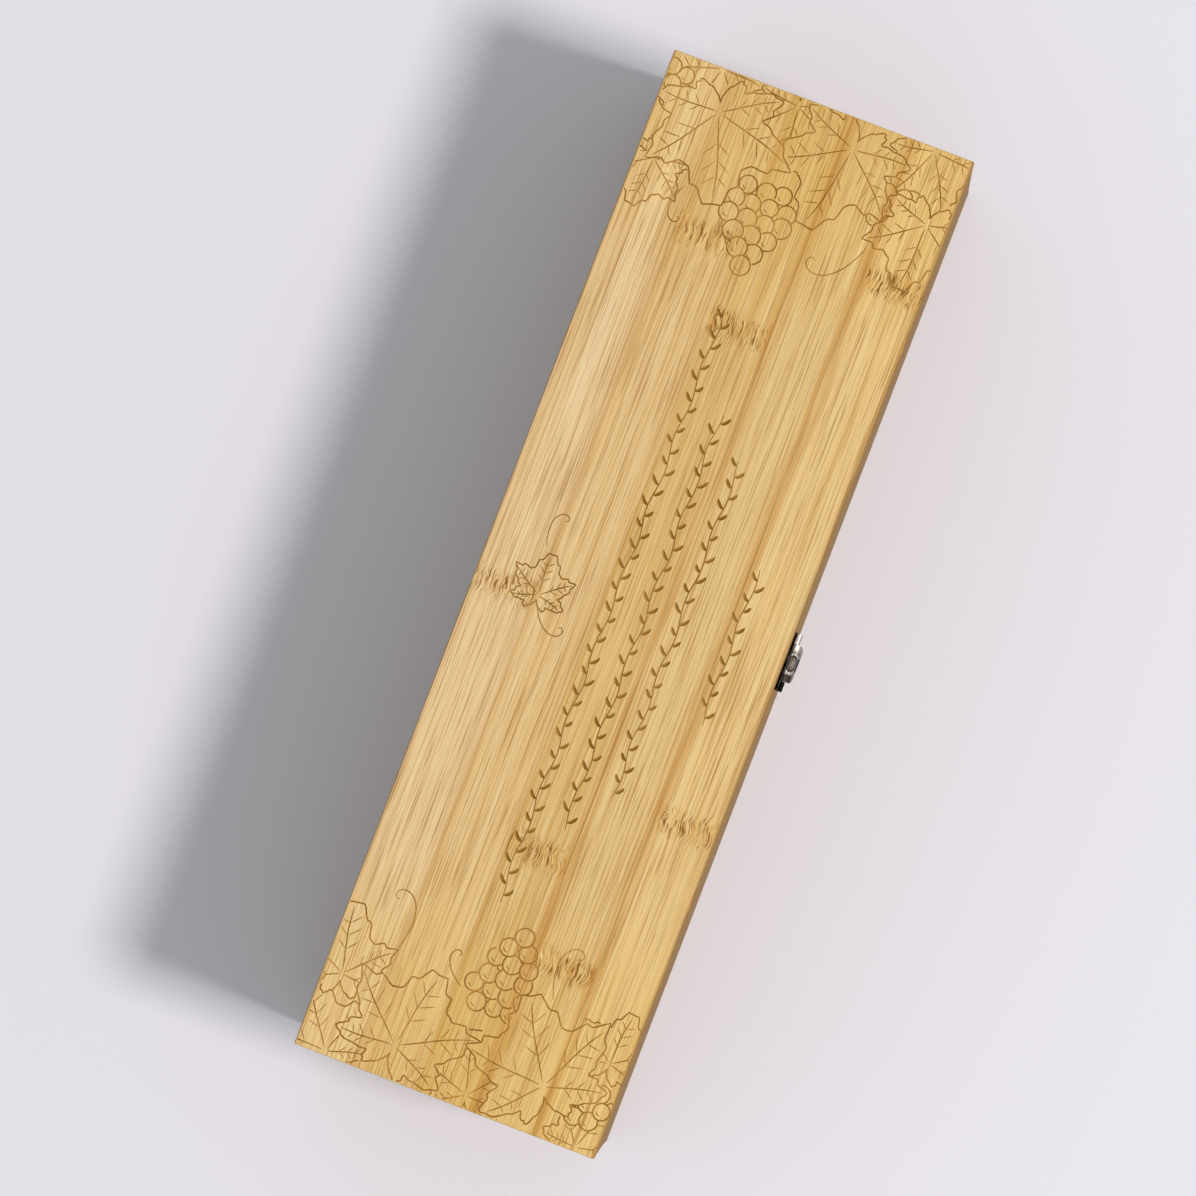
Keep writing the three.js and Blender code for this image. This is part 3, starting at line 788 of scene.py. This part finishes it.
# %% [markdown]
# ## Cutting the lines into the lid
# The strokes could be laid on the lid as thin brown ribbons, but real engraving is cut in: its
# lines catch the light on one side and lie in shade on the other. So each stroke becomes a thin
# four-sided tube along the lid's face, with its middle just above the face, and a boolean cut takes
# it out of the panel as a V-shaped groove. A cutter has to be a sound solid that doesn't run
# through itself, so strokes that touch go into different passes, as an engraver would take them one
# after another, and each pass is one cut. The burnt finish then goes onto the grooves' faces.

# %% The burnt finish
def burnt(name, dark, pale):
    """The burn is paler where the beam crossed hard fibres, in patches about 20 mm long."""
    material, tree, surface = new_material(name)
    where = add(tree, "TexCoord", out="Object")
    where = add(tree, "VectorMath", {0: where, 1: (50, 160, 160)}, operation="MULTIPLY")
    patches = add(tree, "TexNoise", {"Vector": where, "Scale": 1, "Detail": 3})
    share = add(tree, "MapRange", {0: patches, 1: 0.38, 2: 0.62})
    colour = add(tree, "Mix", {0: share, 6: linear(dark), 7: linear(pale)}, out=2, data_type="RGBA")
    tree.links.new(colour, surface.inputs["Base Color"])
    surface.inputs["Roughness"].default_value = 0.75
    surface.inputs["IOR"].default_value = 1.45
    surface.inputs["Specular IOR Level"].default_value = 0.25
    return material


burnt_light = burnt("lightly_burnt_bamboo", "#996A22", "#BC8D45")
burnt_deep = burnt("deeply_burnt_bamboo", "#966A1F", "#AC823B")

# %% Prepare the lid's panel
# Half the lid's length and depth, in mm.
half_length, half_depth = 177.5, 53.5
lid = panel("lid_top_panel", 1)
# The face is first divided into small triangles, because one huge face with hundreds of holes
# would be hard to fill.
for axis, reach, steps in ((0, half_length, 40), (1, half_depth, 12)):
    for step in range(1, steps):
        cut_at, cut_normal = [0, 0, 0], [0, 0, 0]
        cut_at[axis] = mm(reach * (2 * step / steps - 1))
        cut_normal[axis] = 1
        everything = lid.verts[:] + lid.edges[:] + lid.faces[:]
        bmesh.ops.bisect_plane(lid, geom=everything, plane_co=cut_at, plane_no=cut_normal)
bmesh.ops.triangulate(lid, faces=lid.faces)
lid_blank = new_object("lid_blank", to_mesh(lid, "lid_blank"))
print("triangles before the cuts:", len(lid_blank.data.polygons))

# %% Sort the strokes into passes
# In one pass the middles of any two strokes keep this distance, in mm. Each stroke's box is taken
# a little larger, so only strokes that are near each other need to be measured.
keep_apart, margin = 1.5, 0.5
passes = []
for run in strokes:
    run = np.array(run)
    reach = np.array([*run[:, :2].min(0) - margin, *run[:, :2].max(0) + margin])
    for runs, reaches in passes:
        boxes = np.array(reaches)
        near = np.flatnonzero((boxes[:, 0] < reach[2]) & (boxes[:, 2] > reach[0])
                              & (boxes[:, 1] < reach[3]) & (boxes[:, 3] > reach[1]))
        gaps = [np.hypot(*(run[:, None, :2] - runs[i][None, :, :2]).transpose(2, 0, 1)).min()
                for i in near]
        if not gaps or min(gaps) > keep_apart:
            runs.append(run)
            reaches.append(reach)
            break
    else:
        passes.append(([run], [reach]))
print("passes:", [len(runs) for runs, _ in passes])

# %% Cut the grooves
face_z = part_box("lid_top_panel")[1].z
# The tubes' middle lies this many mm above the face, and they are thicker by as much. The pen's
# bevel of 1 mm makes the radius at each point a size in mm.
rise = 0.05
for runs, _ in passes:
    pen = bpy.data.curves.new("pen", "CURVE")
    pen.dimensions = "3D"
    pen.twist_mode = "Z_UP"
    pen.bevel_depth = mm(1)
    pen.bevel_resolution = 0
    pen.use_fill_caps = True
    for run in runs:
        spline = pen.splines.new("POLY")
        spline.points.add(len(run) - 1)
        for point, (x, y, size) in zip(spline.points, run):
            point.co = (mm(x), mm(y), face_z + mm(rise), 1)
            point.radius = size / 2 + rise
    pen_object = new_object("pen", pen)
    bm = bmesh.new()
    bm.from_mesh(final_mesh(pen_object))
    bmesh.ops.remove_doubles(bm, verts=bm.verts, dist=mm(0.0001))
    cutter = new_object("cutter", to_mesh(bm, "cutter"))
    cut_out(lid_blank, cutter)
    engraved = final_mesh(lid_blank)
    lid_blank.modifiers.clear()
    bm = bmesh.new()
    bm.from_mesh(engraved)
    bmesh.ops.triangulate(bm, faces=bm.faces)
    bm.to_mesh(lid_blank.data)
    bm.free()
    for helper in (pen_object, cutter):
        bpy.data.objects.remove(helper)
engraved = lid_blank.data
bpy.data.objects.remove(lid_blank)
print("faces after the cuts:", len(engraved.polygons))

# %% Finish the lid's panel
# The sprays at both ends, from this distance from the middle on, are burnt more lightly. In the
# list of finishes below, 3 and 4 are the light and the deep burn, and 5 is the lid's inside.
sprays_from = 112
bm = bmesh.new()
bm.from_mesh(engraved)
bmesh.ops.triangulate(bm, faces=bm.faces)
grooves = 0
for face in bm.faces:
    centre = face.calc_center_median()
    sunk = centre.z < face_z - mm(0.002) and face.normal.z > 0.2
    on_flat = (abs(centre.x) < mm(half_length - edge_radius)
               and abs(centre.y) < mm(half_depth - edge_radius))
    if sunk and on_flat:
        face.material_index = 3 if abs(centre.x) > mm(sprays_from) else 4
        grooves += 1
    elif on_flat:
        face.material_index = 0 if face.normal.z > 0 else 5
# Finish 2, on the faces that look to the front, is painted shade, and finish 5, the lid's inside,
# is painted a little darker, which is painted shade too.
finishes = [lid_bamboo, wall_bamboo, shaded_edge_bamboo, burnt_light, burnt_deep, inside_bamboo]
lid_panel = place_piece("lid_panel_engraved", bm, finishes, "lid_top_panel", smooth_below=25)
for face in lid_panel.data.polygons:
    if face.normal.z > 0.99 or face.material_index:
        face.use_smooth = False
print("groove faces:", grooves, "of", len(lid_panel.data.polygons))

# %% [markdown]
# ## Antique nickel
# Small box fittings are stamped from steel, plated with nickel, blackened and then tumbled, so the
# high places are bright and the hollows stay nearly black. A metal keeps its default index of
# refraction, and its colour is what it mirrors. Soft patches of the dark film vary colour and
# roughness, and fine noise gives the tumbled surface. On the latch's tongue the film is worn off
# along the lower edge; its end towards +X is painted lighter, wear together with a painted
# highlight, and its other end is painted darker, which is painted shade. The oval dish is painted:
# a dark ring of painted shade together with the film left in the hollow, a pale ring on its rim
# that is a painted highlight, and a brownish floor that is a painted reflection. Of the latch
# plate's two rolled ears one is painted bright, a painted highlight, and the other black, painted
# shade.

# %% Make the metals
# The dish lies at this y in mm and is an oval of these half sizes. Its painted tones change at
# shares of the way from its middle to one and a half times its rim: a brownish floor that is a
# painted reflection, a dark ring of painted shade with the film left in the hollow, and a pale ring
# on the rim that is a painted highlight.
dish_y, dish_long, dish_wide, dish_reach = -55.85, 2.9, 1.75, 1.5
dish_painted_floor = "#5F564B"
dish_painted_rings = ((0.20, "#84796C"), (0.36, "#5A5046"), (0.50, "#6F655A"),
              (0.62, "#1E1915"), (0.74, "#A8A198"))


def plated(name, dark, bright, smooth, rough, blackened=0.0, wear_and_light=(), tongue=None):
    """blackened: how much of the film the tumbling has left. wear_and_light: where wear, painted
    highlight and painted shade change the film, each as a strength and, for one or more axes, the
    places in mm where that starts and is full. tongue: the highest corner of the latch's tongue in
    mm, for its painted dish."""
    material, tree, surface = new_material(name)
    here = add(tree, "TexCoord", out="Object")
    here = add(tree, "VectorMath", {0: here, 3: 1000}, operation="SCALE")
    sides = add(tree, "SeparateXYZ", {0: here}).node.outputs
    # The film's patches are about 2.5 mm across.
    film = add(tree, "TexNoise", {"Vector": here, "Scale": 0.4, "Detail": 3, "Roughness": 0.5})
    film = add(tree, "MapRange", {0: film, 3: 0.2, 4: 0.8})
    for film_shift, *places in wear_and_light:
        for axis, starts, full in places:
            inside = add(tree, "MapRange", {0: sides["XYZ".index(axis)], 1: starts, 2: full})
            film_shift = add(tree, "Math", {0: inside, 1: film_shift}, operation="MULTIPLY")
        film = add(tree, "Math", {0: film, 1: film_shift}, operation="ADD")
    share = add(tree, "MapRange", {0: film, 1: 0.25 + blackened, 2: 0.75 + blackened},
                interpolation_type="SMOOTHSTEP")
    colour = add(tree, "Mix", {0: share, 6: linear(dark), 7: linear(bright)}, out=2,
                 data_type="RGBA")
    if tongue:
        # The dish's painted rings: painted reflection, painted shade and painted highlight.
        oval = add(tree, "VectorMath", {0: here, 1: (0, dish_y, 0)}, operation="SUBTRACT")
        oval = add(tree, "VectorMath", {0: oval, 1: (1 / dish_long, 1 / dish_wide, 0)},
                   operation="MULTIPLY")
        reach = add(tree, "VectorMath", {0: oval}, out="Value", operation="LENGTH")
        rings = add(tree, "ValToRGB", {0: add(tree, "MapRange", {0: reach, 2: dish_reach})})
        stops = rings.node.color_ramp.elements
        stops[0].color = linear(dish_painted_floor)
        for ring_reach, shade in dish_painted_rings:
            stops.new(ring_reach).color = linear(shade)
        on_top = add(tree, "MapRange", {0: sides[2], 1: tongue.z - 1.9, 2: tongue.z - 1.6})
        near = add(tree, "MapRange", {0: reach, 1: 1.30, 2: 1.10})
        inside = add(tree, "Math", {0: on_top, 1: near}, operation="MULTIPLY")
        colour = add(tree, "Mix", {0: inside, 6: colour, 7: rings}, out=2, data_type="RGBA")
    tree.links.new(colour, surface.inputs["Base Color"])
    gloss = add(tree, "MapRange", {0: film, 1: 0.3, 2: 0.7, 3: rough, 4: smooth})
    tree.links.new(gloss, surface.inputs["Roughness"])
    grain = add(tree, "TexNoise", {"Vector": here, "Scale": 1.4, "Detail": 2})
    bump = add(tree, "Bump", {"Height": grain, "Distance": mm(0.05), "Strength": 0.2})
    tree.links.new(bump, surface.inputs["Normal"])
    surface.inputs["Metallic"].default_value = 1.0
    return material


tongue_low, tongue_high = (1000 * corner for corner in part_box("latch_tongue"))
# The tongue's end towards +X is painted lighter, wear together with a painted highlight; its other
# end is painted darker, painted shade; its lower edge is worn.
tongue_wear_and_light = (
    (0.4, ("X", tongue_high.x - 2.4, tongue_high.x - 0.8)),
    (-0.8, ("X", tongue_low.x + 2.8, tongue_low.x + 1.2),
     ("Z", tongue_high.z - 3, tongue_high.z - 1)),
    (0.25, ("Z", tongue_low.z + 1.5, tongue_low.z + 0.3)),
)
# The plate's ears are rolled round the pin. The one towards +X is painted bright, a painted
# highlight, and the other one black, painted shade.
ears_top = 1000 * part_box("latch_pin")[1].z + 0.9
plate_ear_highlight_and_shade = (
    (0.7, ("X", -2, 2), ("Z", ears_top + 0.7, ears_top)),
    (-0.9, ("X", 2, -2), ("Z", ears_top + 0.7, ears_top)),
)
worn_shaded_nickel = plated("worn_shaded_nickel_tongue", "#3C362F", "#A39C91", 0.46, 0.58,
                     wear_and_light=tongue_wear_and_light, tongue=tongue_high)
# The latch plate's film is left nearly black: its own finish, and also painted shade beside the
# wood.
latch_nickel_lit_ears = plated("blackened_nickel_latch_lit_ears", "#0F0D0B", "#B5AFA5", 0.46, 0.56, 0.25,
                      wear_and_light=plate_ear_highlight_and_shade)
catch_nickel = plated("blackened_nickel_catch", "#0F0D0B", "#8C857B", 0.46, 0.56, 0.15)
hinge_nickel = plated("antique_nickel_hinges", "#37322C", "#8F887D", 0.34, 0.48)
steel = plated("blackened_steel", "#2E2A26", "#7A756D", 0.34, 0.45)
print("metals:", [m.name for m in (worn_shaded_nickel, latch_nickel_lit_ears, catch_nickel, hinge_nickel, steel)])

# %% [markdown]
# ## Latch, catch and hinges
# These fittings are stamped sheet with rolled knuckles. Their solids already have the true form, so
# each is merged, its edges are broken by a tenth of a millimetre, as tumbling does, and its rolled
# parts are shaded smooth.

# %% Dress the fittings
break_radius, plate_shortest, pin_shortest = 0.1, 0.6, 0.05
eased("latch_tongue", worn_shaded_nickel, break_radius, plate_shortest)
eased("latch_plate", latch_nickel_lit_ears, break_radius, plate_shortest)
eased("catch_plate", catch_nickel, break_radius, plate_shortest)
for side in ("left", "right"):
    for leaf in ("lower", "upper"):
        eased(f"{side}_hinge_{leaf}_leaf", hinge_nickel, break_radius, plate_shortest)
for node in ("left_hinge_pin", "right_hinge_pin", "latch_pin"):
    eased(node, steel, break_radius, pin_shortest)

# %% [markdown]
# ## Screws
# The fittings are held by small countersunk wood screws with a cross recess. A screw is a body of
# revolution, so its half outline is spun once round, and the recess is cut with two thin bars. A
# screw is made for each place, as long as its solid, and then turned: in the base's hinge leaves it
# looks up, in the lid's down, and in the latch to the front.

# %% Make the screws
# All in mm. The recess is a cross of two bars.
head_radius, head_depth, head_edge, crown = 1.5, 0.7, 0.06, 0.1
shank_radius, tip = 0.72, 1.6
recess_long, recess_wide, recess_high = 1.8, 0.34, 0.9


def wood_screw(length):
    bm = bmesh.new()
    outline = (
        (0, crown), (0.55 * head_radius, 0.7 * crown), (0.96 * head_radius, 0),
        (head_radius, -head_edge), (shank_radius, -head_depth), (shank_radius, tip - length),
        (0, -length),
    )
    points = [bm.verts.new((mm(x), 0, mm(z))) for x, z in outline]
    edges = [bm.edges.new(pair) for pair in zip(points, points[1:])]
    bmesh.ops.spin(bm, geom=points + edges, cent=(0, 0, 0), axis=(0, 0, 1), dvec=(0, 0, 0),
                   angle=math.tau, steps=24, use_merge=True, use_duplicate=False)
    bmesh.ops.remove_doubles(bm, verts=bm.verts, dist=mm(0.001))
    bmesh.ops.recalc_face_normals(bm, faces=bm.faces)
    blank = new_object("screw_blank", to_mesh(bm, "screw_blank"))
    bars = []
    for size_x, size_y in ((recess_long, recess_wide), (recess_wide, recess_long)):
        bar = bmesh.new()
        bmesh.ops.create_cube(bar, size=1)
        bar_size = [mm(size) for size in (size_x, size_y, recess_high)]
        bmesh.ops.scale(bar, vec=bar_size, verts=bar.verts)
        bars.append(new_object("recess", to_mesh(bar, "recess")))
        cut_out(blank, bars[-1])
    bm = bmesh.new()
    bm.from_mesh(final_mesh(blank))
    for helper in (blank, *bars):
        bpy.data.objects.remove(helper)
    return bm


screws = [node for node in frame["nodes"] if "screw" in node]
for node in screws:
    lowest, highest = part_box(node)
    upright = "hinge" in node
    length = 1000 * (highest.z - lowest.z if upright else highest.y - lowest.y)
    middle = (lowest + highest) / 2
    bm = wood_screw(length)
    if upright:
        facing = 1 if "lower" in node else -1
        turned = Matrix.Rotation(0 if facing > 0 else math.pi, 3, "X")
        middle.z = highest.z if facing > 0 else lowest.z
    else:
        turned = Matrix.Rotation(math.pi / 2, 3, "X")
        middle.y = lowest.y
    bmesh.ops.rotate(bm, cent=(0, 0, 0), matrix=turned, verts=bm.verts)
    bmesh.ops.translate(bm, vec=middle, verts=bm.verts)
    place_piece(node + "_dressed", bm, [steel], node)
print("screws:", len(screws))

# %% [markdown]
# ## The dressed box's size
# The dressed box must not be larger than its solids. Its corners are printed, and the solids' size
# was printed at the start.

# %% Measure and finish
low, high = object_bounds()
print("dressed box in mm:", [round(1000 * v, 2) for v in (*low, *high)])
